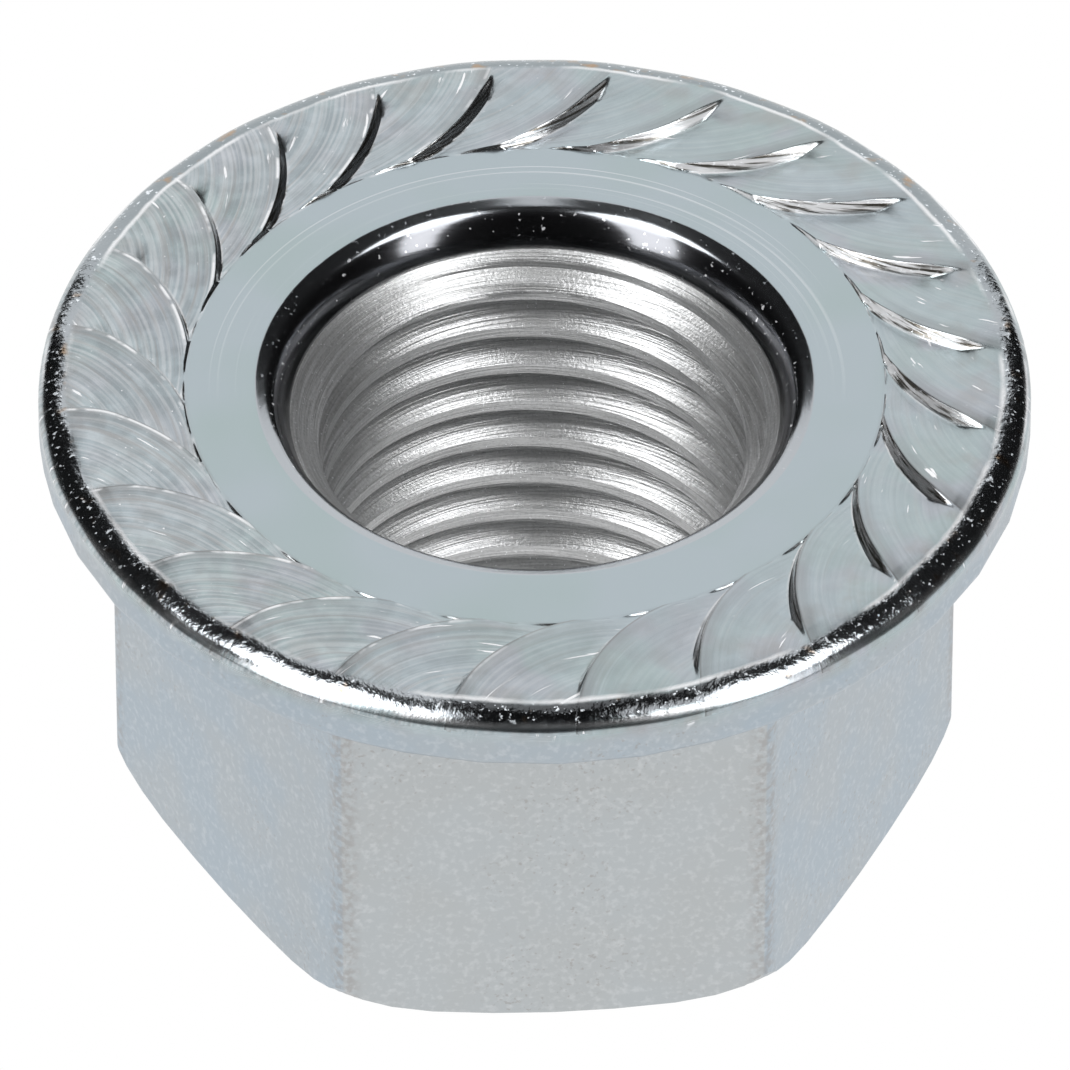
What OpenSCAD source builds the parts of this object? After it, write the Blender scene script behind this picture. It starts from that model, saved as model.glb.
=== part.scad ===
// Hexagon flange nut with a curved, serrated bearing face, standing on its wrench end.
// The bore axis is Z, the wrench end lies on Z = 0 and the serrations face up.

/* [Wrench end] */
// Width across the flats of the hexagon
across_flats = 22; // [20:0.1:24]
// Softening of each upright corner, taken off the width across corners
corner_soft = 0.16; // [0.06:0.02:0.6]
// Turn of the hexagon about the axis, in degrees
hex_turn = 3; // [0:0.5:29]
// Rise of the lower edge at the corners
corner_rise = 1.3; // [0.8:0.05:2]

/* [Flange] */
// Diameter over the flange
flange_d = 29.5; // [28:0.1:31]
// Height of the straight band of the flange wall
wall_h = 0.9; // [0.4:0.05:1.2]
// Radius of the upper edge of the flange
rim_round = 0.95; // [0.6:0.05:1.2]
// Height of the rim above the plain ring, between the ridges
rim_rise = 0.28; // [0.1:0.02:0.4]
// Slope of the rim's inner side, in degrees
rim_slope = 30; // [25:1:45]
// Radius of the lower edge of the flange
lip_round = 0.5; // [0.2:0.05:0.8]
// Slope of the cone under the flange, in degrees
under_slope = 22; // [10:1:30]

/* [Bearing face] */
// Height of the plain ring around the bore, above the wrench end
ring_h = 15.5; // [14:0.05:16]
// Diameter of the plain ring around the bore
ring_d = 21; // [20:0.1:22]
// Number of serrations
teeth = 24; // [20:1:28]
// Turn of the serrations about the axis, in degrees
teeth_turn = 12.6; // [0:0.1:15]
// Slope of a serration's ramp, in degrees
ramp_slope = 9; // [5:0.5:10]
// Radius of the curved edge of a serration
tooth_r = 6.52; // [5.5:0.02:7.5]
// Reach of that curve inside the plain ring's edge
tooth_in = 0.16; // [0.1:0.01:0.5]
// Lean of the steep side of a serration from upright, in degrees
wall_lean = 18; // [10:1:35]
// Length of a serration under the next one, past its own tangent point
tooth_back = 1.1; // [0.8:0.1:1.2]

/* [Bore] */
// Diameter at the crests of the thread
bore_d = 12.66; // [12.4:0.02:12.68]
// Diameter of the countersink at the plain ring
sink_d = 16.66; // [15.4:0.02:18]
// Slope of the countersink, in degrees from level
sink_slope = 50; // [40:1:60]
// Diameter where the countersink meets the cut lead-in of the thread
lead_d = 14.6; // [14:0.1:15.2]
// Diameter of the countersink at the wrench end
lower_sink_d = 14.8; // [14:0.1:16]

/* [Hidden] */
flat_r = across_flats / 2;
corner_r = flat_r / cos(30) - corner_soft / 2;
flange_r = flange_d / 2;
ring_r = ring_d / 2;
bore_r = bore_d / 2;
sink_r = sink_d / 2;
lead_r = lead_d / 2;
lower_sink_r = lower_sink_d / 2;
tooth_turn = 360 / teeth;
tooth_c = ring_r - tooth_in + tooth_r;
tooth_run = 7.2;
ramp_way = 235;
ramp_zero = 0.587 * ring_r;
ridge_h = 3.1 * tan(ramp_slope);
top_h = ring_h + ridge_h + 0.03;
turn_h = top_h - rim_round;
floor_h = ring_h - 0.3;
rim_r = flange_r - rim_round;
rim_h = ring_h + rim_rise;
rim_in = rim_r - 0.15;
rim_foot = rim_in - (rim_h - floor_h) / tan(rim_slope);
lip_r = flange_r - lip_round;
lip_h = turn_h - wall_h;
under_r = lip_r + lip_round * sin(under_slope);
under_h = lip_h - lip_round * cos(under_slope);
root_r = flat_r - 0.6;
root_h = under_h - (under_r - root_r) * tan(under_slope);
prism_h = under_h;
sink_depth = (sink_r - lead_r) * tan(sink_slope);
lead_depth = sink_depth + lead_r - bore_r;
lower_depth = lower_sink_r - bore_r;

// Outer form of the flange, with the rounded rim and lip
module flange_form() {
    rotate_extrude() {
        polygon([
            [0, root_h], [root_r, root_h], [under_r, under_h], [lip_r, lip_h],
            [flange_r, lip_h], [flange_r, turn_h], [rim_r, turn_h], [rim_r, top_h], [0, top_h]
        ]);
        translate([rim_r, turn_h]) circle(r = rim_round);
        translate([lip_r, lip_h]) circle(r = lip_round);
    }
}

// Flange body below the serrations, with the plain ring and the rim at their full height
module flange_body() {
    rotate_extrude()
        polygon([
            [0, root_h - 1], [flange_r + 1, root_h - 1], [flange_r + 1, rim_h], [rim_in, rim_h],
            [rim_foot, floor_h], [ring_r, floor_h], [ring_r, ring_h], [0, ring_h]
        ]);
}

// One serration: a ramp that climbs to a curved ridge and ends in a steep leaning wall
module serration() {
    low_h = floor_h - 0.5;
    drop = top_h - low_h;
    intersection() {
        translate([tooth_c, 0, low_h])
            cylinder(h = drop, r1 = tooth_r + drop * tan(wall_lean), r2 = tooth_r);
        rotate([0, 0, ramp_way])
            translate([-ramp_zero, 0, ring_h])
                rotate([0, -ramp_slope, 0])
                    translate([-20, -20, -6]) cube([40, 40, 6]);
        translate([ring_r - 0.7, -tooth_run, low_h])
            cube([flange_r - ring_r + 1.7, tooth_run + tooth_back, drop]);
    }
}

// Hexagon with softened corners and the curved lower chamfer
module wrench_end() {
    intersection() {
        rotate([0, 0, hex_turn]) cylinder(h = prism_h, r = flat_r / cos(30), $fn = 6);
        rotate_extrude()
            polygon([
                [0, 0], [flat_r - 0.4, 0], [flat_r, 0.08 * corner_rise],
                [flat_r + 0.6, 0.25 * corner_rise], [flat_r + 1, 0.43 * corner_rise],
                [flat_r + 1.35, 0.66 * corner_rise], [corner_r, corner_rise],
                [corner_r, prism_h], [0, prism_h]
            ]);
    }
}

// Space of the bore, with the countersinks at both ends
module bore_space() {
    translate([0, 0, -1]) cylinder(h = top_h + 2, r = bore_r);
    translate([0, 0, ring_h - lead_depth])
        cylinder(h = lead_depth - sink_depth, r1 = bore_r, r2 = lead_r);
    translate([0, 0, ring_h - sink_depth])
        cylinder(h = sink_depth + 0.5, r1 = lead_r, r2 = sink_r + 0.5 / tan(sink_slope));
    translate([0, 0, -0.5])
        cylinder(h = lower_depth + 0.5, r1 = lower_sink_r + 0.5, r2 = bore_r);
}

module flange_nut() {
    color([0.72, 0.75, 0.78])
        difference() {
            union() {
                intersection() {
                    flange_form();
                    union() {
                        flange_body();
                        for (i = [0:teeth - 1])
                            rotate([0, 0, teeth_turn + i * tooth_turn]) serration();
                    }
                }
                wrench_end();
            }
            bore_space();
        }
}

flange_nut();
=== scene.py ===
import math
import bpy
import bmesh
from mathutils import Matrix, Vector


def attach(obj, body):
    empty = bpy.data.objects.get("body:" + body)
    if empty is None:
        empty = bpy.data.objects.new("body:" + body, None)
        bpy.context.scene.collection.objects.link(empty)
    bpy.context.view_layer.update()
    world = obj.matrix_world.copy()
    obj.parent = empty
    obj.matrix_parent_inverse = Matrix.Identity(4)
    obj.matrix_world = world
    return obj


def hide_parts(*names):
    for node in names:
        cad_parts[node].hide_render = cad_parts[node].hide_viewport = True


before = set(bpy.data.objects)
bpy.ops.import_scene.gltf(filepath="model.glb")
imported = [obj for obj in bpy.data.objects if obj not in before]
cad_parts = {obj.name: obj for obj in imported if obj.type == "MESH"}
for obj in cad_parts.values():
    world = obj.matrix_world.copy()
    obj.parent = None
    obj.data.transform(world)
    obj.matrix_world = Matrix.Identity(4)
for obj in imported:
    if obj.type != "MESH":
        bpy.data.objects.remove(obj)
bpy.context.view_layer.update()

mm = 0.001
weldGap = 2e-7      # metres, points closer together than this become one


def addObject(name, data):
    made = bpy.data.objects.new(name, data)
    bpy.context.scene.collection.objects.link(made)
    return made


def direction(az, el):
    # from the middle outwards: az in degrees from the camera's side (-Y), el above the floor
    a, e = math.radians(az), math.radians(el)
    return (math.sin(a) * math.cos(e), -math.cos(a) * math.cos(e), math.sin(e))


# Camera at the photograph's angle, before anything else
cameraSet = {
    "elevation": 43.12,     # degrees above the floor
    "distance": 0.5462,     # metres from the aim point
    "lens": 614.0,          # millimetres, a long lens from far away
    "sensor": 36.0,
    "aim": (0.00001, 0.0, 0.00932),
}


def makeCamera(c):
    data = bpy.data.cameras.new("photoCamera")
    data.lens = c["lens"]
    data.sensor_width = c["sensor"]
    cam = addObject("photoCamera", data)
    back = Vector(direction(0.0, c["elevation"]))
    cam.location = Vector(c["aim"]) + back * c["distance"]
    cam.rotation_euler = (-back).to_track_quat("-Z", "Y").to_euler()
    bpy.context.scene.camera = cam


makeCamera(cameraSet)
bpy.context.scene.view_settings.view_transform = "Standard"
print("camera ready")


# Sizes of the nut in millimetres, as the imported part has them; stops are shares of a way
nut = {
    "ringHeight": 15.5,         # plain ring above the floor
    "ringInner": 8.33,          # radius where the countersink starts
    "ringRows": (9.2, 9.8),     # radii of the ring's own rows, the first one is the seam
    "petalStart": 10.40,        # radius where the serrations start
    "flangeRadius": 14.75,
    "rimDrop": -0.43,           # where the rim's rounding meets the wall, from the ring
    "wallFoot": 14.171,         # height of the lower end of the straight wall
    "wallRow": 0.45,            # row on the wall, above its foot
    "lipRound": 0.5,
    "lipRows": 8,
    "underSlope": 22.0,
    "underRows": 5,
    "underFillet": 0.25,
    "filletRows": 4,
    "acrossFlats": 22.0,
    "hexTurn": 3.0,
    "flatStops": (-0.94, -0.8, -0.6, -0.3, 0.0, 0.3, 0.6, 0.8, 0.94),
    "flatRows": 12,
    "cornerRound": 0.52,
    "cornerSteps": 8,
    "cornerRise": 1.3,
    "chamfer": (                # (height in cornerRises, distance outside the flats)
        (0.0, -0.4), (0.08, 0.0), (0.25, 0.6), (0.43, 1.0), (0.66, 1.35), (1.0, 1.62), (2.0, 1.9),
    ),
    "chamferRows": 8,
    "lowerSink": 7.4,           # radius of the countersink at the floor
    "lowerSeam": 7.7,
    "floorInner": 8.2,          # radius where the flat end's own rows start
    "floorStops": (0.0, 0.5, 0.9),
}

serration = {
    "count": 24,
    "turn": 12.3,               # degrees, the first ridge's tangent point
    "arcCentre": 16.83,         # distance of the arc's centre from the axis
    "arcRadius": 6.53,
    "rampSlope": 9.0,
    "rampWay": 235.0,           # direction in which a ramp climbs
    "rampZero": 6.1635,
    "lowest": -0.06,            # how far a ramp may dip under the ring
    "dipBlend": 0.08,
    "wallLean": 23.0,
    "ridgeRound": 0.11,
    "footRound": 0.14,
    "wallShare": 0.42,          # largest share of the wall that a rounding takes
    "rampShare": 0.1,           # and of the ramp
    "crownWidth": 0.42,         # soft band beside each ridge
    "crownDrop": 0.035,
    "crownFrom": 10.9,          # radius where the band starts
    "crownFade": 1.0,           # and the length over which it deepens
    "crownShare": (0.08, 0.5),  # least and largest share of the ramp that the band takes
    "crownStops": (0.33, 0.66, 1.0),
    "ridgeDrop": 1.1,           # drop of the ridge itself, in crownDrops
    "rampStops": (0.22, 0.44, 0.66, 0.84),
    "creaseIn": 0.02,           # rows beside the step from the plain ring to the ramps
    "creaseOut": 0.03,
    "creaseShare": 0.6,
    "faceIn": 0.07,             # first row of the ramps, from petalStart
    "faceOut": 0.1,             # and the last one, from bevelStart
    "faceRows": 22,
    "rimFoot": 12.0,            # where the rim starts to rise from the low ends of the ramps
    "rimTop": 13.6,
    "rimLow": -0.12,
    "rimRise": 0.24,
    "rimSwell": 0.035,
    "rimBlend": 0.08,
    "mergeStart": 12.6,         # where the ridges start to sink into the rim
    "mergeEnd": 13.95,
    "bevelStart": 13.4,         # the rim's bevel and its rounded edge
    "bevelTilt": 9.0,
    "bevelBlend": 0.2,
    "bevelRows": 4,
    "edgeRound": 1.3,
    "edgeRows": 16,
}

thread = {
    "crest": 6.33,
    "pitch": 1.5,
    "rowsPerPitch": 16,
    "columns": 240,
    "crestRows": 2,             # half the crest's flat, in rows
    "rootRows": 6,              # where the flank meets the root, in rows
    "phase": 8.39,              # height of a crest's middle at azimuth 0
    "sinkDepth": 1.22,
    "sinkRows": 14,
    "leadRadius": 7.30,
    "leadRound": (0.02, 0.06),  # how far the rows at the foot stand inside leadRadius
    "leadDrop": 0.02,
    "mouthRadius": 7.62,        # where the flare and the steep foot of the countersink would meet
    "mouthSlope": 21.0,
    "mouthBend": 0.37,          # radius outside mouthRadius where the bend between them starts
    "mouthRows": 4,
    "ringRows": (8.9, 8.6),     # radii of the rows on the plain ring
    "ringRound": (0.05, 0.06),  # rounding of the ring's inner edge, outwards and inwards
    "top": 14.06,
    "bottom": 0.25,
}

# Where the finish changes: heights from the plain ring and radii in millimetres
regions = {
    "rim": {"inner": 10.0, "low": -0.9, "radius": 13.95, "height": -0.1, "heightScale": 1.2},
    "wall": {"inner": 10.2, "low": -0.2, "tilt": 26.0, "tiltBlend": 16.0, "outer": 14.0, "blend": 0.3},
    "sink": {"outer": 9.0, "high": -0.012, "reach": 0.01},
    "bore": {"outer": 8.0, "reach": 0.02},
    "side": {"inner": 9.0, "high": -0.44},
    "hexagon": {"inner": 10.6, "high": -2.5},
    "cornerWidth": 1.7,         # degrees to either side of a corner
    "front": (240.1, 299.9),    # degrees from the first corner, the flat that faces the camera
}


def softMin(a, b, k):
    h = max(k - abs(a - b), 0.0) / k
    return min(a, b) - h * h * k / 4


def softMax(a, b, k):
    return -softMin(-a, -b, k)


def smoothStep(x):
    x = min(max(x, 0.0), 1.0)
    return x * x * (3 - 2 * x)


def polar(r, a, z):
    # a point in metres from a radius and a height in millimetres
    return (r * math.cos(a) * mm, r * math.sin(a) * mm, z * mm)


def line(a, b, rows):
    # points from a to b, without the first
    return [tuple(p + (q - p) * k / rows for p, q in zip(a, b)) for k in range(1, rows + 1)]


def curve(a, b, c, rows):
    # points of a bend from a to c towards b, without its first
    out = []
    for k in range(1, rows + 1):
        f = k / rows
        out.append(tuple((1 - f) ** 2 * p + 2 * f * (1 - f) * q + f * f * r for p, q, r in zip(a, b, c)))
    return out


# In the functions below n is the dictionary of the nut, s of its serrations and t of its thread
def rampHeight(r, a, s):
    way = math.radians(s["rampWay"])
    along = r * math.cos(a) * math.cos(way) + r * math.sin(a) * math.sin(way)
    plane = (along + s["rampZero"]) * math.tan(math.radians(s["rampSlope"]))
    return softMax(plane, s["lowest"], s["dipBlend"])


def arcAngle(r, reach, s):
    # azimuth where a circle of radius reach round the arc's centre crosses radius r
    d = s["arcCentre"]
    c = (r * r + d * d - reach * reach) / (2 * r * d)
    return -math.acos(min(1.0, max(-1.0, c)))


def crossSection(r, s):
    # (angle, height) of one serration at radius r, from its ridge to the next one
    step = 2 * math.pi / s["count"]
    lean = math.tan(math.radians(s["wallLean"]))
    ridgeA = arcAngle(r, s["arcRadius"], s)
    ridgeZ = rampHeight(r, ridgeA, s)
    footA = ridgeA + step * 0.9
    for _ in range(12):     # the wall's foot moves with its height, so its place is found in rounds
        footZ = rampHeight(r, footA, s)
        reach = s["arcRadius"] + max(0.0, ridgeZ - footZ) * lean
        footA = step + arcAngle(r, reach, s)
    nextA = ridgeA + step
    ramp = footA - ridgeA

    def onRamp(a):
        return (a, rampHeight(r, a, s))

    def mix(p, q, f):
        return (p[0] + (q[0] - p[0]) * f, p[1] + (q[1] - p[1]) * f)

    def bend(p, corner, q, f):
        return mix(mix(p, corner, f), mix(corner, q, f), f)

    foot, nextRidge = (footA, footZ), (nextA, ridgeZ)
    wallSpan = math.hypot((nextA - footA) * r, ridgeZ - footZ)
    ridgeIn = min(s["ridgeRound"], s["wallShare"] * wallSpan) / max(wallSpan, 1e-6)
    footIn = min(s["footRound"], s["wallShare"] * wallSpan) / max(wallSpan, 1e-6)
    rampSpan = ramp * r
    ridgeOn = onRamp(ridgeA + ramp * min(s["rampShare"], s["ridgeRound"] / rampSpan))
    footOn = onRamp(footA - ramp * min(s["rampShare"], s["footRound"] / rampSpan))
    wallHigh = mix(nextRidge, foot, ridgeIn)
    wallLow = mix(foot, nextRidge, footIn)
    backWall = (wallHigh[0] - step, wallHigh[1])
    least, most = s["crownShare"]
    crown = min(arcAngle(r, s["arcRadius"] - s["crownWidth"], s), ridgeA + ramp * most)
    crown = max(crown, ridgeOn[0] + ramp * least)
    crownFull = s["crownDrop"] * smoothStep((r - s["crownFrom"]) / s["crownFade"])

    def onCrown(f):
        a, z = onRamp(ridgeOn[0] + (crown - ridgeOn[0]) * f)
        return (a, z - crownFull * (1 - f) ** 2)

    ridge = (ridgeA, ridgeZ - crownFull * s["ridgeDrop"])
    nextRidge = (nextA, ridge[1])
    ridgeOn = onCrown(0.0)
    out = [bend(backWall, ridge, ridgeOn, 0.5), bend(backWall, ridge, ridgeOn, 0.75), ridgeOn]
    out += [onCrown(f) for f in s["crownStops"]]
    out += [onRamp(crown + (footOn[0] - crown) * f) for f in s["rampStops"]]
    out += [footOn, bend(footOn, foot, wallLow, 0.5), wallLow, mix(wallLow, wallHigh, 0.5), wallHigh]
    out.append(bend(wallHigh, nextRidge, (ridgeOn[0] + step, ridgeOn[1]), 0.25))
    return out + [(out[0][0] + step, out[0][1])]


def rimRows(n, s):
    # (radius, share of the way down) over the rim's bevel and rounded edge
    tilt = math.radians(s["bevelTilt"])
    start = s["bevelStart"]
    edge = n["flangeRadius"] - s["edgeRound"] * (1 - math.sin(tilt))
    width = (edge - start) / s["bevelRows"]
    out = [(start, 0.0)]
    for k in range(1, s["bevelRows"] + 1):
        r = start + width * k
        own = tilt * smoothStep((r - width / 2 - start) / s["bevelBlend"])
        out.append((r, out[-1][1] + math.tan(own) * width))
    foot = out[-1][1]
    for k in range(1, s["edgeRows"] + 1):
        turn = tilt + (math.pi / 2 - tilt) * k / s["edgeRows"]
        r = n["flangeRadius"] - s["edgeRound"] * (1 - math.sin(turn))
        out.append((r, foot + s["edgeRound"] * (math.cos(tilt) - math.cos(turn))))
    return [(r, drop / out[-1][1]) for r, drop in out]


def faceRows(n, s):
    # rows from the plain ring to the rim, closer together where the ridges start
    d, reach = s["arcCentre"], s["arcRadius"]

    def turnAt(r):
        return math.acos((d * d + reach * reach - r ** 2) / (2 * d * reach))

    first, last = turnAt(n["petalStart"] + s["faceIn"]), turnAt(s["bevelStart"] - s["faceOut"])
    out = []
    for k in range(s["faceRows"]):
        turn = first + (last - first) * k / (s["faceRows"] - 1)
        out.append((math.sqrt(d * d + reach * reach - 2 * d * reach * math.cos(turn)), 0.0))
    return out + rimRows(n, s)


def faceHeight(r, a, z, drop, n, s):
    # the ramps run into a rim that swells a little behind each ridge
    step = 2 * math.pi / s["count"]
    swell = s["rimSwell"] * math.sin(2 * math.pi * (a - arcAngle(r, s["arcRadius"], s)) / step)
    level = s["rimRise"] + swell
    rise = smoothStep((r - s["rimFoot"]) / (s["rimTop"] - s["rimFoot"]))
    face = softMax(z, s["rimLow"] + (level - s["rimLow"]) * rise, s["rimBlend"])
    face += (level - face) * smoothStep((r - s["mergeStart"]) / (s["mergeEnd"] - s["mergeStart"]))
    return face + (n["rimDrop"] - face) * drop


def sectorMesh(n, s):
    # one serration from the plain ring to the rim's widest circle
    step = 2 * math.pi / s["count"]
    turn = math.radians(s["turn"])
    start = n["petalStart"]
    face = faceRows(n, s)
    edge = crossSection(face[0][0], s)
    rows = [[(r, a, 0.0) for a, _ in edge] for r in n["ringRows"] + (start - s["creaseIn"], start)]
    rows.append([(start + s["creaseOut"], a, z * s["creaseShare"]) for a, z in edge])
    for r, drop in face:
        rows.append([(r, a, faceHeight(r, a, z, drop, n, s)) for a, z in crossSection(r, s)])
    points, arcs, faces = [], [], []
    wide = len(edge)
    for row in rows:
        for c, (r, a, z) in enumerate(row):
            points.append(polar(r, a + turn, n["ringHeight"] + z))
            own = a if c < wide - 1 else a - step
            arcs.append(math.hypot(r * math.cos(own) - s["arcCentre"], r * math.sin(own)))
    for i in range(len(rows) - 1):
        for j in range(wide - 1):
            a = i * wide + j
            faces.append((a, a + wide, a + wide + 1, a + 1))
    mesh = bpy.data.meshes.new("serrationSector")
    mesh.from_pydata(points, [], faces)
    inner = [(n["ringRows"][0], a + turn) for a, _ in edge[:-1]]
    outer = [(n["flangeRadius"], p[1] + turn) for p in rows[-1][:-1]]
    return mesh, inner, outer, arcs


def ringOf(pairs, count, height):
    # the points of one sector's edge, repeated round the axis
    return [polar(r, a + 2 * math.pi * i / count, height) for i in range(count) for r, a in pairs]


def angleOf(p):
    return math.atan2(p[1], p[0]) % (2 * math.pi)


def zipper(lower, upper):
    # triangles between two closed rings with different numbers of points
    a = sorted(lower, key=angleOf)
    b = sorted(upper, key=angleOf)
    faces = []
    i = j = 0
    while i < len(a) or j < len(b):
        nextA = angleOf(a[(i + 1) % len(a)]) + (2 * math.pi if i + 1 >= len(a) else 0)
        nextB = angleOf(b[(j + 1) % len(b)]) + (2 * math.pi if j + 1 >= len(b) else 0)
        ia, ib = i % len(a), len(a) + j % len(b)
        if j >= len(b) or (i < len(a) and nextA <= nextB):
            faces.append((ia, (i + 1) % len(a), ib))
            i += 1
        else:
            faces.append((ia, len(a) + (j + 1) % len(b), ib))
            j += 1
    return a + b, faces


def newTree(name):
    tree = bpy.data.node_groups.new(name, "GeometryNodeTree")
    tree.interface.new_socket("Geometry", in_out="INPUT", socket_type="NodeSocketGeometry")
    tree.interface.new_socket("Geometry", in_out="OUTPUT", socket_type="NodeSocketGeometry")
    return tree


def treeInput(tree, name, kind, value):
    item = tree.interface.new_socket(name, in_out="INPUT", socket_type="NodeSocket" + kind)
    item.default_value = value
    return item.identifier


def mathNode(tree, operation, *inputs):
    node = tree.nodes.new("ShaderNodeMath")
    node.operation = operation
    for k, value in enumerate(inputs):
        if isinstance(value, (int, float)):
            node.inputs[k].default_value = value
        else:
            tree.links.new(value, node.inputs[k])
    return node.outputs[0]


# Repeats one serration round the axis and welds the copies into one ring
def serrationTree():
    tree = newTree("serrationRing")
    countId = treeInput(tree, "Count", "Int", 24)
    nodes, link = tree.nodes, tree.links.new
    source, result = nodes.new("NodeGroupInput"), nodes.new("NodeGroupOutput")
    points = nodes.new("GeometryNodePoints")
    link(source.outputs["Count"], points.inputs["Count"])
    index = nodes.new("GeometryNodeInputIndex")
    step = mathNode(tree, "DIVIDE", 2 * math.pi, source.outputs["Count"])
    turn = nodes.new("ShaderNodeCombineXYZ")
    link(mathNode(tree, "MULTIPLY", index.outputs[0], step), turn.inputs["Z"])
    copies = nodes.new("GeometryNodeInstanceOnPoints")
    link(points.outputs[0], copies.inputs["Points"])
    link(source.outputs["Geometry"], copies.inputs["Instance"])
    link(turn.outputs[0], copies.inputs["Rotation"])
    real = nodes.new("GeometryNodeRealizeInstances")
    link(copies.outputs[0], real.inputs[0])
    weld = nodes.new("GeometryNodeMergeByDistance")
    weld.inputs["Distance"].default_value = weldGap
    link(real.outputs[0], weld.inputs["Geometry"])
    finish = nodes.new("GeometryNodeSetMaterial")
    link(weld.outputs[0], finish.inputs["Geometry"])
    link(finish.outputs[0], result.inputs["Geometry"])
    return tree, countId


# Winds the thread's profile round the bore: rows follow the helix, columns the angle
def threadTree():
    tree = newTree("cutThread")
    ids = {}
    for name, kind, value in (
        ("Columns", "Int", 240), ("Rows per pitch", "Int", 16), ("Pitch", "Float", 1.5),
        ("Crest radius", "Float", 6.33), ("Crest half flat", "Float", 0.1875),
        ("Root depth", "Float", 0.65), ("Crest height", "Float", 8.0), ("Bottom", "Float", 0.3),
        ("Top", "Float", 14.0), ("Lower cone", "Float", 7.4), ("Upper cone", "Float", -6.0),
    ):
        ids[name] = treeInput(tree, name, kind, value)
    nodes, link = tree.nodes, tree.links.new
    source, result = nodes.new("NodeGroupInput"), nodes.new("NodeGroupOutput")
    s = source.outputs

    def m(*a):
        return mathNode(tree, *a)

    # a flat grid with rows to spare at both ends, which are pressed flat there later
    height = m("SUBTRACT", s["Top"], s["Bottom"])
    turns = m("ADD", m("CEIL", m("DIVIDE", height, s["Pitch"])), 2.0)
    rows = m("MULTIPLY", turns, s["Rows per pitch"])
    grid = nodes.new("GeometryNodeMeshGrid")
    grid.inputs["Size X"].default_value = 1.0
    grid.inputs["Size Y"].default_value = 1.0
    link(m("ADD", s["Columns"], 1.0), grid.inputs["Vertices X"])
    link(m("ADD", rows, 1.0), grid.inputs["Vertices Y"])
    place = nodes.new("GeometryNodeInputPosition")
    split = nodes.new("ShaderNodeSeparateXYZ")
    link(place.outputs[0], split.inputs[0])
    share = m("ADD", split.outputs["X"], 0.5)
    angle = m("MULTIPLY", share, 2 * math.pi)

    # height of each point along the helix, kept between the thread's two ends
    below = m("SUBTRACT", s["Crest height"], m("SUBTRACT", s["Bottom"], s["Pitch"]))
    down = m("MULTIPLY", s["Pitch"], m("CEIL", m("DIVIDE", below, s["Pitch"])))
    start = m("SUBTRACT", s["Crest height"], down)
    rise = m("MULTIPLY", m("ADD", split.outputs["Y"], 0.5), m("MULTIPLY", turns, s["Pitch"]))
    wound = m("ADD", m("ADD", start, rise), m("MULTIPLY", s["Pitch"], share))
    clampZ = m("MINIMUM", m("MAXIMUM", wound, s["Bottom"]), s["Top"])

    # radius from the distance to the nearest crest, inside the cones at both ends
    lead = m("SUBTRACT", m("SUBTRACT", clampZ, m("MULTIPLY", s["Pitch"], share)), s["Crest height"])
    above = m("ADD", lead, m("MULTIPLY", s["Pitch"], 64.0))     # whole turns, to stay above zero
    near = m("PINGPONG", above, m("DIVIDE", s["Pitch"], 2.0))
    flank = m("MULTIPLY", m("SUBTRACT", near, s["Crest half flat"]), math.sqrt(3))
    groove = m("MINIMUM", m("MAXIMUM", flank, 0.0), s["Root depth"])
    cut = m("ADD", s["Crest radius"], groove)
    low = m("SUBTRACT", s["Lower cone"], clampZ)
    high = m("ADD", s["Upper cone"], clampZ)
    metres = m("MULTIPLY", m("MAXIMUM", m("MAXIMUM", cut, low), high), mm)
    spot = nodes.new("ShaderNodeCombineXYZ")
    link(m("MULTIPLY", metres, m("COSINE", angle)), spot.inputs["X"])
    link(m("MULTIPLY", metres, m("SINE", angle)), spot.inputs["Y"])
    link(m("MULTIPLY", clampZ, mm), spot.inputs["Z"])
    wind = nodes.new("GeometryNodeSetPosition")
    link(grid.outputs["Mesh"], wind.inputs["Geometry"])
    link(spot.outputs[0], wind.inputs["Position"])
    weld = nodes.new("GeometryNodeMergeByDistance")
    weld.inputs["Distance"].default_value = weldGap
    link(wind.outputs[0], weld.inputs["Geometry"])
    real = nodes.new("GeometryNodeRealizeInstances")
    link(weld.outputs[0], real.inputs[0])
    finish = nodes.new("GeometryNodeSetMaterial")
    link(real.outputs[0], finish.inputs["Geometry"])
    link(finish.outputs[0], result.inputs["Geometry"])
    return tree, ids


def fromTree(name, mesh, tree, values):
    # runs a tree on a mesh and gives back the result as a plain mesh
    maker = addObject(name + "Maker", mesh)
    modifier = maker.modifiers.new(name, "NODES")
    modifier.node_group = tree
    for identifier, value in values.items():
        modifier[identifier] = value
    bpy.context.view_layer.update()
    shown = maker.evaluated_get(bpy.context.evaluated_depsgraph_get())
    plain = bpy.data.meshes.new_from_object(shown)
    maker.modifiers.remove(modifier)
    bpy.data.objects.remove(maker)
    return plain


def hexColumns(n):
    # (angle, radius) round the hexagon, with rounded corners
    flat = n["acrossFlats"] / 2
    radius = n["cornerRound"]
    reach = (flat - radius) / math.cos(math.radians(30))
    half = reach * math.sin(math.radians(30))
    out = []
    for side in range(6):
        middle = 60 * side + 30 + n["hexTurn"]
        for f in n["flatStops"]:
            x, y = flat, half * f
            out.append((math.radians(middle) + math.atan2(y, x), math.hypot(x, y)))
        corner = math.radians(middle + 30)
        for k in range(n["cornerSteps"] + 1):
            turn = math.radians(middle + 60 * k / n["cornerSteps"])
            x = reach * math.cos(corner) + radius * math.cos(turn)
            y = reach * math.sin(corner) + radius * math.sin(turn)
            out.append((math.atan2(y, x), math.hypot(x, y)))
    return out


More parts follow.
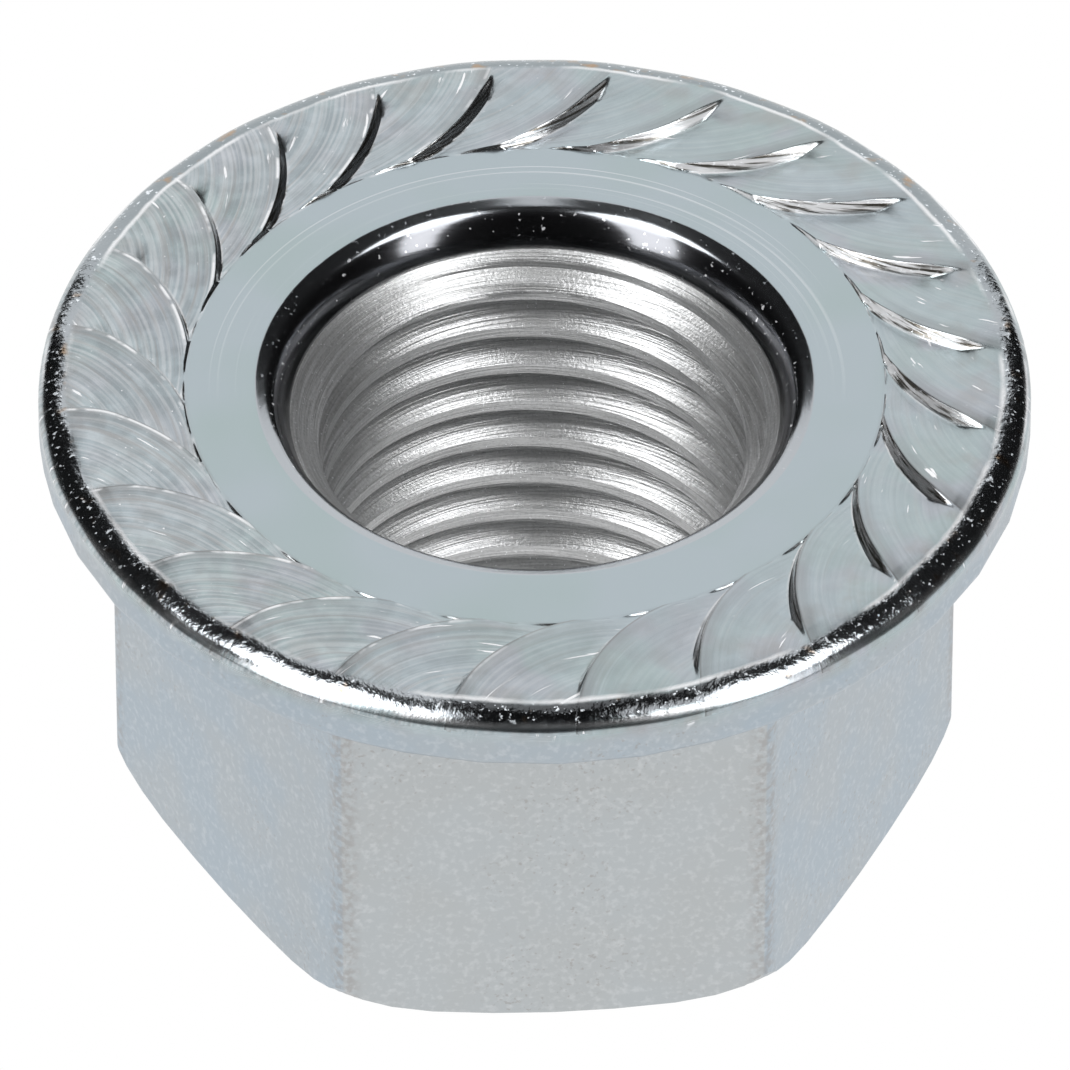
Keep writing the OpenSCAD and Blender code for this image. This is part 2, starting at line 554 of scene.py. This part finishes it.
def chamferRadius(z, n):
    knots = [(h * n["cornerRise"], n["acrossFlats"] / 2 + out) for h, out in n["chamfer"]]
    for (z0, r0), (z1, r1) in zip(knots, knots[1:]):
        if z <= z1:
            return r0 + (r1 - r0) * (z - z0) / (z1 - z0)
    return knots[-1][1]


def chamferHeight(r, n):
    # halves the range of heights until the chamfer's radius is r
    low, high = 0.0, n["chamfer"][-1][0] * n["cornerRise"]
    for _ in range(40):
        half = (low + high) / 2
        if chamferRadius(half, n) < r:
            low = half
        else:
            high = half
    return low


def bodyMesh(n):
    # bottom face, lower chamfer, hexagon, cone under the flange, lip and wall
    slope = math.radians(n["underSlope"])
    lipR = n["flangeRadius"] - n["lipRound"]
    lipH = n["wallFoot"]
    underR = lipR + n["lipRound"] * math.sin(slope)
    underH = lipH - n["lipRound"] * math.cos(slope)
    fillet = n["underFillet"]
    inner, foot = n["floorInner"], chamferRadius(0.0, n)
    rows = []
    for a, r in hexColumns(n):
        column = [(inner + (foot - inner) * f, 0.0) for f in n["floorStops"]]
        edge = chamferHeight(r, n)
        for k in range(n["chamferRows"] + 1):
            z = edge * k / n["chamferRows"]
            column.append((min(chamferRadius(z, n), r), z))
        topH = underH - (underR - r) * math.tan(slope)
        column += line((r, edge), (r, topH - fillet), n["flatRows"])
        outR = r + fillet
        outH = underH - (underR - outR) * math.tan(slope)
        column += curve((r, topH - fillet), (r, topH), (outR, outH), n["filletRows"])
        for k in range(1, n["underRows"] + 1):
            f = k / n["underRows"]
            column.append((outR + (underR - outR) * f, outH + (underH - outH) * f))
        low = slope - math.pi / 2
        for k in range(1, n["lipRows"] + 1):
            turn = low - low * k / n["lipRows"]
            column.append((lipR + n["lipRound"] * math.cos(turn), lipH + n["lipRound"] * math.sin(turn)))
        column.append((n["flangeRadius"], lipH + n["wallRow"]))
        rows.append([polar(cr, a, z) for cr, z in column])
    high = len(rows[0])
    faces = []
    for j in range(len(rows)):
        k = (j + 1) % len(rows)
        for i in range(high - 1):
            faces.append((j * high + i, k * high + i, k * high + i + 1, j * high + i + 1))
    points = [p for column in rows for p in column]
    return points, faces, [c[0] for c in rows], [c[-1] for c in rows]


def revolve(profile, columns):
    points, faces = [], []
    for r, z in profile:
        points += [polar(r, 2 * math.pi * j / columns, z) for j in range(columns)]
    for i in range(len(profile) - 1):
        for j in range(columns):
            k = (j + 1) % columns
            faces.append((i * columns + j, (i + 1) * columns + j, (i + 1) * columns + k, i * columns + k))
    return points, faces


def leadPoint(n, t):
    # upper end of the cone that leads into the thread
    return (t["leadRadius"] - t["leadRound"][1], n["ringHeight"] - t["sinkDepth"] - t["leadDrop"])


def upperCone(n, t):
    # radius minus height, the same all along that cone
    r, z = leadPoint(n, t)
    return r - z


def sinkProfile(n, t):
    # from the plain ring, over the flared mouth, down the countersink to the thread's lead-in
    ring, edge = n["ringHeight"], n["ringInner"]
    flare = math.tan(math.radians(t["mouthSlope"]))
    mouth = (t["mouthRadius"], ring - (edge - t["mouthRadius"]) * flare)
    outwards, inwards = t["ringRound"]
    out = [(r, ring) for r in t["ringRows"] + (edge + outwards,)]
    out += curve(out[-1], (edge, ring), (edge - inwards, ring - inwards * flare), t["mouthRows"])
    start = (mouth[0] + t["mouthBend"], mouth[1] + t["mouthBend"] * flare)
    out += line(out[-1], start, t["mouthRows"])
    foot = (t["leadRadius"] - t["leadRound"][0], ring - t["sinkDepth"])
    out += curve(start, mouth, foot, t["sinkRows"])
    out.append(leadPoint(n, t))
    out.append((t["top"] + upperCone(n, t), t["top"]))
    return out


def regionMasks(mesh, n, t, g):
    # where the polished and the satin parts of the finish lie, from each point's place and slope
    rim, steep, sink, bore, side, hexagon = (g[k] for k in ("rim", "wall", "sink", "bore", "side", "hexagon"))
    names = ("rimInside", "wallShare", "sinkShare", "boreShare", "sideShare", "cornerShare", "frontShare")
    values = {name: [] for name in names}
    for v in mesh.vertices:
        r = math.hypot(v.co.x, v.co.y) / mm
        z = v.co.z / mm - n["ringHeight"]
        tilt = math.degrees(math.acos(min(1.0, max(-1.0, v.normal.z))))
        around = (math.degrees(math.atan2(v.co.y, v.co.x)) - n["hexTurn"]) % 360
        fromCorner = abs((around + 30) % 60 - 30)
        inside = min(r - rim["radius"], (z - rim["height"]) * rim["heightScale"])
        wall = smoothStep((tilt - steep["tilt"]) / steep["tiltBlend"])
        wall *= smoothStep((steep["outer"] - r) / steep["blend"])
        sunk = z < sink["high"] and r < sink["outer"] and z > -t["sinkDepth"] - sink["reach"]
        bored = r < bore["outer"] and z <= -t["sinkDepth"] + bore["reach"]
        hexed = z < hexagon["high"] and r > hexagon["inner"]
        front = g["front"][0] < around < g["front"][1]
        row = (
            inside if z > rim["low"] and r > rim["inner"] else -1.0,
            wall if z > steep["low"] and r > steep["inner"] else 0.0,
            1.0 if sunk else 0.0,
            1.0 if bored else 0.0,
            1.0 if z < side["high"] and r > side["inner"] else 0.0,
            1.0 if hexed and fromCorner < g["cornerWidth"] else 0.0,
            1.0 if hexed and front else 0.0,
        )
        for name, value in zip(names, row):
            values[name].append(value)
    for name in names:
        mesh.attributes.new(name, "FLOAT", "POINT").data.foreach_set("value", values[name])


def buildNut(n, s, t, g):
    sector, inner, outer, arcs = sectorMesh(n, s)
    flow = sector.attributes.new("arcDistance", "FLOAT", "POINT")
    flow.data.foreach_set("value", arcs)
    tree, countId = serrationTree()
    face = fromTree("serrationRing", sector, tree, {countId: s["count"]})
    print("bearing face:", len(face.polygons), "faces")

    rowStep = t["pitch"] / t["rowsPerPitch"]
    wind, ids = threadTree()
    values = {
        "Columns": t["columns"], "Rows per pitch": t["rowsPerPitch"], "Pitch": t["pitch"],
        "Crest radius": t["crest"], "Crest half flat": t["crestRows"] * rowStep,
        "Root depth": (t["rootRows"] - t["crestRows"]) * rowStep * math.sqrt(3),
        "Crest height": t["phase"], "Bottom": t["bottom"], "Top": t["top"],
        "Lower cone": n["lowerSink"], "Upper cone": upperCone(n, t),
    }
    seed = bpy.data.meshes.new("boreSeed")
    bore = fromTree("cutThread", seed, wind, {ids[name]: value for name, value in values.items()})
    print("thread:", len(bore.polygons), "faces")

    build = bmesh.new()
    build.from_mesh(face)
    build.from_mesh(bore)

    def add(points, faces):
        made = [build.verts.new(p) for p in points]
        for f in faces:
            build.faces.new([made[i] for i in f])

    points, faces, floorRing, wallRing = bodyMesh(n)
    add(points, faces)
    add(*zipper(wallRing, ringOf(outer, s["count"], n["ringHeight"] + n["rimDrop"])))
    profile = sinkProfile(n, t)
    add(*revolve(profile, t["columns"]))
    sinkRing = revolve(profile[:1], t["columns"])[0]
    add(*zipper(ringOf(inner, s["count"], n["ringHeight"]), sinkRing))
    profile = [(n["lowerSink"] - t["bottom"], t["bottom"]), (n["lowerSink"], 0.0), (n["lowerSeam"], 0.0)]
    add(*revolve(profile, t["columns"]))
    lowRing = revolve(profile[-1:], t["columns"])[0]
    add(*zipper(lowRing, floorRing))
    bmesh.ops.remove_doubles(build, verts=build.verts, dist=2 * weldGap)
    bmesh.ops.recalc_face_normals(build, faces=build.faces)
    openEdges = sum(1 for e in build.edges if not e.is_manifold)
    print("open edges:", openEdges, "triangles:", sum(len(f.verts) - 2 for f in build.faces))
    mesh = bpy.data.meshes.new("flangeNut")
    build.to_mesh(mesh)
    build.free()
    for p in mesh.polygons:
        p.use_smooth = True
    mesh.set_sharp_from_angle(angle=math.radians(32))
    regionMasks(mesh, n, t, g)
    return addObject("flangeNut", mesh)


piece = buildNut(nut, serration, thread, regions)


# Finish of the plated steel; colours are linear, lengths in millimetres
finish = {
    "colours": {
        "plain": (0.44, 0.505, 0.54, 1),
        "cool": (0.41, 0.49, 0.50, 1),
        "warm": (0.445, 0.48, 0.52, 1),
        "stain": (0.37, 0.355, 0.345, 1),
        "bright": (0.97, 0.98, 1.0, 1),
        "rim": (0.46, 0.49, 0.52, 1),
        # pale: painted glints at the rim's pits
        "rimGlint": (0.85, 0.90, 0.95, 1),
        "brown": (0.42, 0.30, 0.20, 1),
        "wall": (0.76, 0.76, 0.77, 1),
        "wallDark": (0.22, 0.20, 0.17, 1),
        # painted shade along the ridges at the front
        "dark": (0.15, 0.145, 0.14, 1),
        "sink": (0.21, 0.215, 0.23, 1),
        # near black: painted shade at the countersink's foot, and the painted dark reflection on the rim's
        # front
        "sinkFoot": (0.05, 0.052, 0.055, 1),
        # dark grey: painted shade beside the ridges, and the thread's dark tool marks and grit
        "crown": (0.27, 0.275, 0.28, 1),
        "shade": (0.30, 0.34, 0.36, 1),
        "bore": (0.53, 0.535, 0.535, 1),
        "side": (0.43, 0.495, 0.55, 1),
        # paler: painted light on the flat that faces the camera
        "sideFront": (0.50, 0.53, 0.545, 1),
        "sideWarm": (0.49, 0.505, 0.505, 1),
        "corner": (0.36, 0.34, 0.33, 1),
    },
    "lines": {                  # tool marks: scale across, scale along, low, high
        "die": (7.0, 0.25, 0.40, 0.62),
        "groove": (5.0, 0.3, 0.55, 0.68),
        "dash": (4.5, 0.9, 0.685, 0.72),
        "turned": (9.0, 0.04, 0.62, 0.70),
        "streak": (9.0, 0.9, 0.50, 0.62),
        "sunk": (6.0, 1.2, 0.4, 0.6),
        "cut": (15.0, 0.35, 0.42, 0.70),
        "fine": (34.0, 0.6, 0.50, 0.60),
    },
    "specks": {                 # spots and soft patches: scale, detail, low, high
        "cloud": (0.22, 1.0, 0.42, 0.62),
        "warmth": (0.5, 1.0, 0.52, 0.66),
        "leftShadePatches": (1.7, 4.0, 0.38, 0.60),
        "stain": (0.9, 3.0, 0.5, 0.7),
        "glint": (1.3, 2.0, 0.44, 0.56),
        "faceSparkle": (7.0, 4.0, 0.715, 0.76),
        "dents": (1.6, 3.0, 0.4, 0.6),
        "ragged": (5.0, 3.0, 0.5, 0.6),
        "pits": (6.5, 3.0, 0.62, 0.68),
        "brown": (1.3, 2.0, 0.60, 0.72),
        "crestHighlight": (0.35, 1.0, 0.42, 0.56),
        "wall": (7.0, 2.0, 0.62, 0.68),
        "sunk": (5.5, 2.0, 0.66, 0.72),
        "grit": (11.0, 3.0, 0.48, 0.66),
        "sparkle": (12.0, 1.0, 0.71, 0.75),
        "sideWarm": (0.35, 3.0, 0.4, 0.6),
        "mottle": (5.0, 3.0, 0.50, 0.72),
        "cornerPatches": (4.5, 3.0, 0.42, 0.60),
        "freckle": (6.0, 2.0, 0.62, 0.70),
        "freckleArea": (0.3, 2.0, 0.46, 0.60),
    },
    "spans": {                  # where a change starts and where it is full
        "face": (10.3, 10.6),           # along the radius
        "outer": (11.6, 13.6),
        "crownOut": (10.7, 11.5),
        "sinkFoot": (7.50, 7.40),
        "sinkMouth": (7.75, 8.0),
        "crown": (6.02, 6.32),          # along the distance from the arc's centre
        "ridge": (6.44, 6.52),
        "glintIn": (6.37, 6.43),
        "glintOut": (6.51, 6.47),
        "left": (3.0, -9.0),            # along X
        "glintLeft": (1.0, -5.0),
        "wallRight": (0.5, 5.0),
        "ridgeFront": (2.0, -3.0),      # along Y
        "turnedFar": (-1.0, 8.0),
        "rimFar": (1.0, 9.0),
        "rimFront": (-10.0, -12.0),
        "wallFar": (-4.0, 2.0),
        "rimMiddle": (4.7, 3.1),        # along the distance from rimCentre
        "rimEdge": (-0.08, 0.10),       # across the rim's inner edge
        "crestIn": (-0.16, -0.06),
        "crestOut": (0.06, -0.02),
    },
    "rimCentre": 1.5,           # X of the middle of the painted dark reflection on the rim's front
    "shares": {                 # how much of each mark shows
        "leftLeast": 0.25, "leftShadePatches": 0.62, "die": 0.26, "groove": 0.45, "stain": 0.45,
        "crown": 0.38, "ridge": 0.6, "glint": 0.85, "turned": 0.35, "ragged": 0.15,
        "rimMiddle": 0.85, "dents": 0.12, "crestHighlight": 0.8, "wallNear": 0.12, "streak": 0.8,
        "cut": 0.4, "fine": 0.3, "grit": 0.3, "sideWarm": 0.4, "mottle": 0.17,
        "cornerPatches": 0.5, "freckle": 0.55,
    },
    "rough": {
        "ring": 0.22, "face": 0.26, "side": 0.38, "rim": 0.13, "wall": 0.18, "sink": 0.14, "bore": 0.30,
    },
    "dull": {"litWalls": 0.7, "pits": 0.5, "sunk": 0.4, "bore": 0.14},     # taken off Metallic
    "relief": {                 # heights in millimetres
        "die": 0.0016, "faceDents": 0.004, "rimDents": 0.016, "pits": 0.012, "streak": 0.035,
        "sunk": 0.003, "cut": 0.022, "fine": 0.012, "grit": 0.010, "mottle": 0.003,
    },
}


def addNode(tree, kind, values=None, **settings):
    made = tree.nodes.new(kind)
    for name, value in settings.items():
        setattr(made, name, value)
    for key, value in (values or {}).items():
        if isinstance(value, bpy.types.NodeSocket):
            tree.links.new(value, made.inputs[key])
        else:
            made.inputs[key].default_value = value
    return made


def newShaderGroup(name, inputs, outputs):
    tree = bpy.data.node_groups.new(name, "ShaderNodeTree")
    for label, kind, value in inputs:
        item = tree.interface.new_socket(label, in_out="INPUT", socket_type="NodeSocket" + kind)
        if value is not None:
            item.default_value = value
    for label in outputs:
        tree.interface.new_socket(label, in_out="OUTPUT", socket_type="NodeSocketFloat")
    return tree, tree.nodes.new("NodeGroupInput").outputs, tree.nodes.new("NodeGroupOutput").inputs


def rangeOf(tree, value, low, high):
    return addNode(tree, "ShaderNodeMapRange", {"Value": value, "From Min": low, "From Max": high}).outputs[0]


def finishMarks(tree, noise, given, result):
    # a mask between two thresholds, and a height about zero
    tree.links.new(rangeOf(tree, noise.outputs[0], given["Low"], given["High"]), result["Mask"])
    tree.links.new(mathNode(tree, "SUBTRACT", noise.outputs[0], 0.5), result["Height"])


# Lines left by a tool: fine across, long along; Across is the distance they are stacked in
def makeLineGroup():
    inputs = [("Position", "Vector", None), ("Across", "Float", 0.0), ("Across scale", "Float", 5.0),
              ("Along scale", "Float", 0.4), ("Low", "Float", 0.4), ("High", "Float", 0.6)]
    slant = 0.71        # keeps the lines clear of the noise's own grid
    tree, given, result = newShaderGroup("toolLines", inputs, ("Mask", "Height"))
    place = addNode(tree, "ShaderNodeVectorMath", {0: given["Position"]}, operation="SCALE")
    tree.links.new(given["Along scale"], place.inputs["Scale"])
    stacked = mathNode(tree, "MULTIPLY", given["Across"], given["Across scale"])
    shift = addNode(tree, "ShaderNodeCombineXYZ", {
        "X": stacked, "Y": mathNode(tree, "MULTIPLY", stacked, slant)})
    spot = addNode(tree, "ShaderNodeVectorMath", {0: place.outputs[0], 1: shift.outputs[0]}, operation="ADD")
    noise = addNode(tree, "ShaderNodeTexNoise", {"Vector": spot.outputs[0], "Scale": 1.0, "Detail": 3.0})
    finishMarks(tree, noise, given, result)
    return tree


# Scattered specks or soft patches, by scale and threshold
def makeSpeckGroup():
    inputs = [("Position", "Vector", None), ("Scale", "Float", 3.0), ("Detail", "Float", 2.0),
              ("Low", "Float", 0.55), ("High", "Float", 0.65)]
    tree, given, result = newShaderGroup("speckles", inputs, ("Mask", "Height"))
    noise = addNode(tree, "ShaderNodeTexNoise", {
        "Vector": given["Position"], "Scale": given["Scale"], "Detail": given["Detail"]})
    finishMarks(tree, noise, given, result)
    return tree


lineGroup = makeLineGroup()
speckGroup = makeSpeckGroup()


def platedSteel(f):
    mat = bpy.data.materials.new("platedSteel")
    mat.use_nodes = True
    tree = mat.node_tree
    shade = tree.nodes["Principled BSDF"]
    tint, much = f["colours"], f["shares"]

    def m(*a):
        return mathNode(tree, *a)

    def times(value, *others):
        for other in others:
            value = m("MULTIPLY", value, other)
        return value

    def less(value):
        return m("SUBTRACT", 1.0, value)

    def mask(name):
        return addNode(tree, "ShaderNodeAttribute", attribute_name=name).outputs["Fac"]

    def span(name, value):
        return rangeOf(tree, value, *f["spans"][name])

    def lines(name, across):
        acrossScale, alongScale, low, high = f["lines"][name]
        return addNode(tree, "ShaderNodeGroup", {
            "Position": place, "Across": across, "Across scale": acrossScale,
            "Along scale": alongScale, "Low": low, "High": high}, node_tree=lineGroup).outputs

    def specks(name):
        scale, detail, low, high = f["specks"][name]
        return addNode(tree, "ShaderNodeGroup", {
            "Position": place, "Scale": scale, "Detail": detail, "Low": low, "High": high},
            node_tree=speckGroup).outputs

    def blend(amount, a, b):
        # a colour mix: its sockets 0, 6 and 7 are the factor and the two colours
        return addNode(tree, "ShaderNodeMix", {0: amount, 6: a, 7: b}, data_type="RGBA").outputs[2]

    def pick(amount, a, b):
        return m("ADD", a, m("MULTIPLY", amount, m("SUBTRACT", b, a)))

    metres = addNode(tree, "ShaderNodeTexCoord").outputs["Object"]
    place = addNode(tree, "ShaderNodeVectorMath", {0: metres, "Scale": 1 / mm}, operation="SCALE").outputs[0]
    axis = addNode(tree, "ShaderNodeSeparateXYZ", {0: place}).outputs
    radius = m("SQRT", m("ADD", times(axis[0], axis[0]), times(axis[1], axis[1])))
    arc, inside = mask("arcDistance"), mask("rimInside")
    wall, sink, bore, side = mask("wallShare"), mask("sinkShare"), mask("boreShare"), mask("sideShare")
    face = span("face", radius)
    left = pick(span("left", axis[0]), much["leftLeast"], 1.0)

    # plain ring and petals
    colour = blend(specks("cloud")["Mask"], tint["plain"], tint["cool"])
    colour = blend(times(specks("warmth")["Mask"], face), colour, tint["warm"])
    die = lines("die", arc)
    # the left petals, where painted shade, painted sparkle and the die and groove marks are strongest
    leftFace = times(face, left)
    # painted shade: darker patches on the left petals
    colour = blend(times(specks("leftShadePatches")["Mask"], leftFace, much["leftShadePatches"]), colour, tint["shade"])
    colour = blend(times(die["Mask"], leftFace, much["die"]), colour, tint["bright"])
    colour = blend(times(lines("groove", arc)["Mask"], leftFace, much["groove"]), colour, tint["stain"])
    stain = times(specks("stain")["Mask"], span("outer", radius), much["stain"])
    colour = blend(stain, colour, tint["stain"])
    # painted shade: a darker band beside each ridge, deeper outwards
    crown = times(span("crown", arc), span("crownOut", radius), much["crown"])
    colour = blend(crown, colour, tint["crown"])
    # painted shade: a dark line along the ridges on the front side
    ridge = times(span("ridge", arc), span("ridgeFront", axis[1]), face, much["ridge"])
    colour = blend(ridge, colour, tint["dark"])
    glint = times(span("glintIn", arc), span("glintOut", arc), specks("glint")["Mask"], face)
    colour = blend(times(glint, span("glintLeft", axis[0]), much["glint"]), colour, tint["bright"])
    # painted highlights: short bright dashes along the petals
    colour = blend(times(lines("dash", arc)["Mask"], face), colour, tint["bright"])
    # painted highlights: small white sparkle specks on the left petals
    colour = blend(times(specks("faceSparkle")["Mask"], leftFace), colour, tint["bright"])
    ringFar = times(less(face), less(sink), span("turnedFar", axis[1]))
    colour = blend(times(lines("turned", radius)["Mask"], ringFar, much["turned"]), colour, tint["bright"])

    # rim, with a painted highlight along its crest
    dents = specks("dents")["Height"]
    band = span("rimEdge", m("ADD", inside, times(specks("ragged")["Height"], much["ragged"])))
    # small dents in the rim's relief, also painted as pale glints in the dark band
    pits = specks("pits")
    rim = blend(span("rimFar", axis[1]), tint["rim"], tint["shade"])
    # painted dark reflection: the middle of the rim's front darkened nearly to black
    aside = m("ABSOLUTE", m("SUBTRACT", axis[0], f["rimCentre"]))
    middle = times(span("rimMiddle", aside), span("rimFront", axis[1]), much["rimMiddle"])
    rim = blend(middle, rim, tint["sinkFoot"])
    rim = blend(pits["Mask"], rim, tint["rimGlint"])
    rim = blend(specks("brown")["Mask"], rim, tint["brown"])
    colour = blend(band, colour, rim)
    # painted highlight: a bright line along the rim's crest
    soft = m("ADD", inside, times(dents, much["dents"]))
    crestHighlight = times(span("crestIn", soft), span("crestOut", soft), specks("crestHighlight")["Mask"], much["crestHighlight"])
    colour = blend(crestHighlight, colour, tint["bright"])

    # walls of the serrations, painted paler on the right and at the far side, where the light falls
    streak = lines("streak", axis[2])
    walls = blend(streak["Mask"], tint["wall"], tint["wallDark"])
    walls = blend(specks("wall")["Mask"], walls, tint["bright"])
    # painted light: the lit walls, made pale by taking off Metallic
    sunLit = times(span("wallRight", axis[0]), pick(span("wallFar", axis[1]), much["wallNear"], 1.0))
    litWalls = times(wall, sunLit, less(times(streak["Mask"], much["streak"])))
    colour = blend(wall, colour, walls)

    # countersink
    # painted highlights: pale specks in the dark countersink
    sinkGlints = specks("sunk")["Mask"]
    sunk = blend(sinkGlints, tint["sink"], tint["bright"])
    # painted shade: the countersink's foot darkened nearly to black
    sunk = blend(span("sinkFoot", radius), sunk, tint["sinkFoot"])
    colour = blend(sink, colour, blend(span("sinkMouth", radius), sunk, tint["rim"]))

    # thread
    cut, fine, grit = lines("cut", axis[2]), lines("fine", axis[2]), specks("grit")
    threads = blend(times(cut["Mask"], much["cut"]), tint["bore"], tint["bright"])
    threads = blend(times(fine["Mask"], much["fine"]), threads, tint["crown"])
    threads = blend(times(grit["Mask"], much["grit"]), threads, tint["crown"])
    threads = blend(specks("sparkle")["Mask"], threads, tint["bright"])
    colour = blend(bore, colour, threads)

    # hexagon and the flange's wall
    # painted light: the flat that faces the camera is given a paler colour
    sides = blend(mask("frontShare"), tint["side"], tint["sideFront"])
    sides = blend(times(specks("sideWarm")["Mask"], much["sideWarm"]), sides, tint["sideWarm"])
    mottle = specks("mottle")
    sides = blend(times(mottle["Mask"], much["mottle"]), sides, tint["bright"])
    # darker patches at the hexagon's corners
    cornerPatches = times(mask("cornerShare"), specks("cornerPatches")["Mask"], much["cornerPatches"])
    sides = blend(cornerPatches, sides, tint["corner"])
    freckle = times(specks("freckle")["Mask"], specks("freckleArea")["Mask"], much["freckle"])
    sides = blend(freckle, sides, tint["stain"])
    colour = blend(times(side, less(band)), colour, sides)
    tree.links.new(colour, shade.inputs["Base Color"])

    rough = f["rough"]["ring"]
    for where, name in (
        (face, "face"), (side, "side"), (band, "rim"), (wall, "wall"), (sink, "sink"), (bore, "bore"),
    ):
        rough = pick(where, rough, f["rough"][name])
    tree.links.new(rough, shade.inputs["Roughness"])

    # painted light: the lit walls lose Metallic, so they show pale
    dull = times(litWalls, f["dull"]["litWalls"])
    for value, name in (
        (times(pits["Mask"], band), "pits"), (times(sinkGlints, sink), "sunk"), (bore, "bore"),
    ):
        dull = m("MAXIMUM", dull, times(value, f["dull"][name]))
    tree.links.new(less(dull), shade.inputs["Metallic"])

    height = 0.0
    for mark, where, name in (
        (die["Height"], face, "die"), (dents, face, "faceDents"), (dents, band, "rimDents"),
        (pits["Height"], band, "pits"), (streak["Height"], wall, "streak"),
        (lines("sunk", axis[2])["Height"], sink, "sunk"), (cut["Height"], bore, "cut"),
        (fine["Height"], bore, "fine"), (grit["Height"], bore, "grit"), (mottle["Height"], side, "mottle"),
    ):
        height = m("ADD", height, times(mark, where, f["relief"][name]))
    bump = addNode(tree, "ShaderNodeBump", {"Height": height, "Strength": 1.0, "Distance": mm})
    tree.links.new(bump.outputs[0], shade.inputs["Normal"])
    return mat


piece.data.materials.append(platedSteel(finish))
print("materials ready")


# Studio: white floor, white world, dark dome with a window seen only in reflections, soft lamps
studio = {
    "ambient": 0.5,         # strength of the white world in diffuse light
    "floorReach": 6.0,      # metres from the middle to each side
    "floorGrey": 0.9,
    "floorRough": 0.9,
    "domeRadius": 1.2,
    "domeGrey": 0.015,
    "domeRough": 1.0,
    "domeStep": 2,          # degrees
    "windowFrom": 152,      # degrees to either side of the camera, where the white world shows
    "windowTop": 88,        # degrees above the floor
    "boxDistance": 1.0,
    "boxes": {              # azimuth, elevation, width, height, radiance
        "leftSoftbox": (-49, 38, 0.37, 1.15, 3.8),
        "rightSoftbox": (48, 38, 0.28, 1.15, 3.8),
        "leftTopSoftbox": (-76, 62, 0.42, 0.5, 3.5),
        "rightTopSoftbox": (74, 62, 0.36, 0.5, 3.5),
    },
}


def lightPathMask(tree):
    # 1 for what the camera, a reflection or a transmission sees
    path = tree.nodes.new("ShaderNodeLightPath").outputs
    both = mathNode(tree, "MAXIMUM", path["Is Camera Ray"], path["Is Glossy Ray"])
    return mathNode(tree, "MAXIMUM", both, path["Is Transmission Ray"])


def makeWorld(st):
    world = bpy.data.worlds.new("studioWorld")
    bpy.context.scene.world = world
    world.use_nodes = True
    tree = world.node_tree
    strength = addNode(tree, "ShaderNodeMapRange", {
        "Value": lightPathMask(tree), "To Min": st["ambient"], "To Max": 1.0})
    back = tree.nodes["Background"]
    back.inputs["Color"].default_value = (1, 1, 1, 1)
    tree.links.new(strength.outputs[0], back.inputs["Strength"])


def mattMaterial(name, grey, rough):
    mat = bpy.data.materials.new(name)
    mat.use_nodes = True
    shade = mat.node_tree.nodes["Principled BSDF"]
    shade.inputs["Base Color"].default_value = (grey, grey, grey, 1)
    shade.inputs["Roughness"].default_value = rough
    shade.inputs["Specular IOR Level"].default_value = 0.0
    return mat, shade


def makeFloor(st):
    mesh = bpy.data.meshes.new("studioFloor")
    reach = st["floorReach"]
    corners = [(-reach, -reach, 0), (reach, -reach, 0), (reach, reach, 0), (-reach, reach, 0)]
    mesh.from_pydata(corners, [], [(0, 1, 2, 3)])
    floor = addObject("studioFloor", mesh)
    mat, shade = mattMaterial("whiteFloor", st["floorGrey"], st["floorRough"])
    tree = mat.node_tree
    glow = addNode(tree, "ShaderNodeEmission", {"Strength": 1.0})
    mix = addNode(tree, "ShaderNodeMixShader", {
        "Fac": lightPathMask(tree), 1: shade.outputs[0], 2: glow.outputs[0]})
    tree.links.new(mix.outputs[0], tree.nodes["Material Output"].inputs["Surface"])
    mesh.materials.append(mat)


def makeDome(st):
    step = st["domeStep"]
    points, faces = [], []
    for el in range(0, 91, step):
        for az in range(0, 360, step):
            points.append(tuple(st["domeRadius"] * v for v in direction(az, el)))
    wide = 360 // step
    for i in range(90 // step):
        for j in range(wide):
            az = (j * step + step / 2 + 180) % 360 - 180
            el = i * step + step / 2
            if abs(az) <= st["windowFrom"] or el >= st["windowTop"]:
                k = (j + 1) % wide
                faces.append((i * wide + j, i * wide + k, (i + 1) * wide + k, (i + 1) * wide + j))
    mesh = bpy.data.meshes.new("darkFlags")
    mesh.from_pydata(points, [], faces)
    mesh.materials.append(mattMaterial("flagCloth", st["domeGrey"], st["domeRough"])[0])
    dome = addObject("darkFlags", mesh)
    dome.visible_camera = False
    dome.visible_diffuse = False
    dome.visible_shadow = False
    dome.visible_transmission = False


def softbox(name, az, el, width, height, radiance, distance):
    data = bpy.data.lights.new(name, "AREA")
    data.shape = "RECTANGLE"
    data.size, data.size_y = width, height
    data.energy = radiance * math.pi * width * height
    lamp = addObject(name, data)
    way = Vector(direction(az, el))
    lamp.location = way * distance
    lamp.rotation_euler = way.to_track_quat("Z", "Y").to_euler()
    lamp.visible_camera = False


makeWorld(studio)
makeFloor(studio)
makeDome(studio)
for name, values in studio["boxes"].items():
    softbox(name, *values, studio["boxDistance"])
print("studio ready")

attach(piece, "root")
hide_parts("flange_nut")
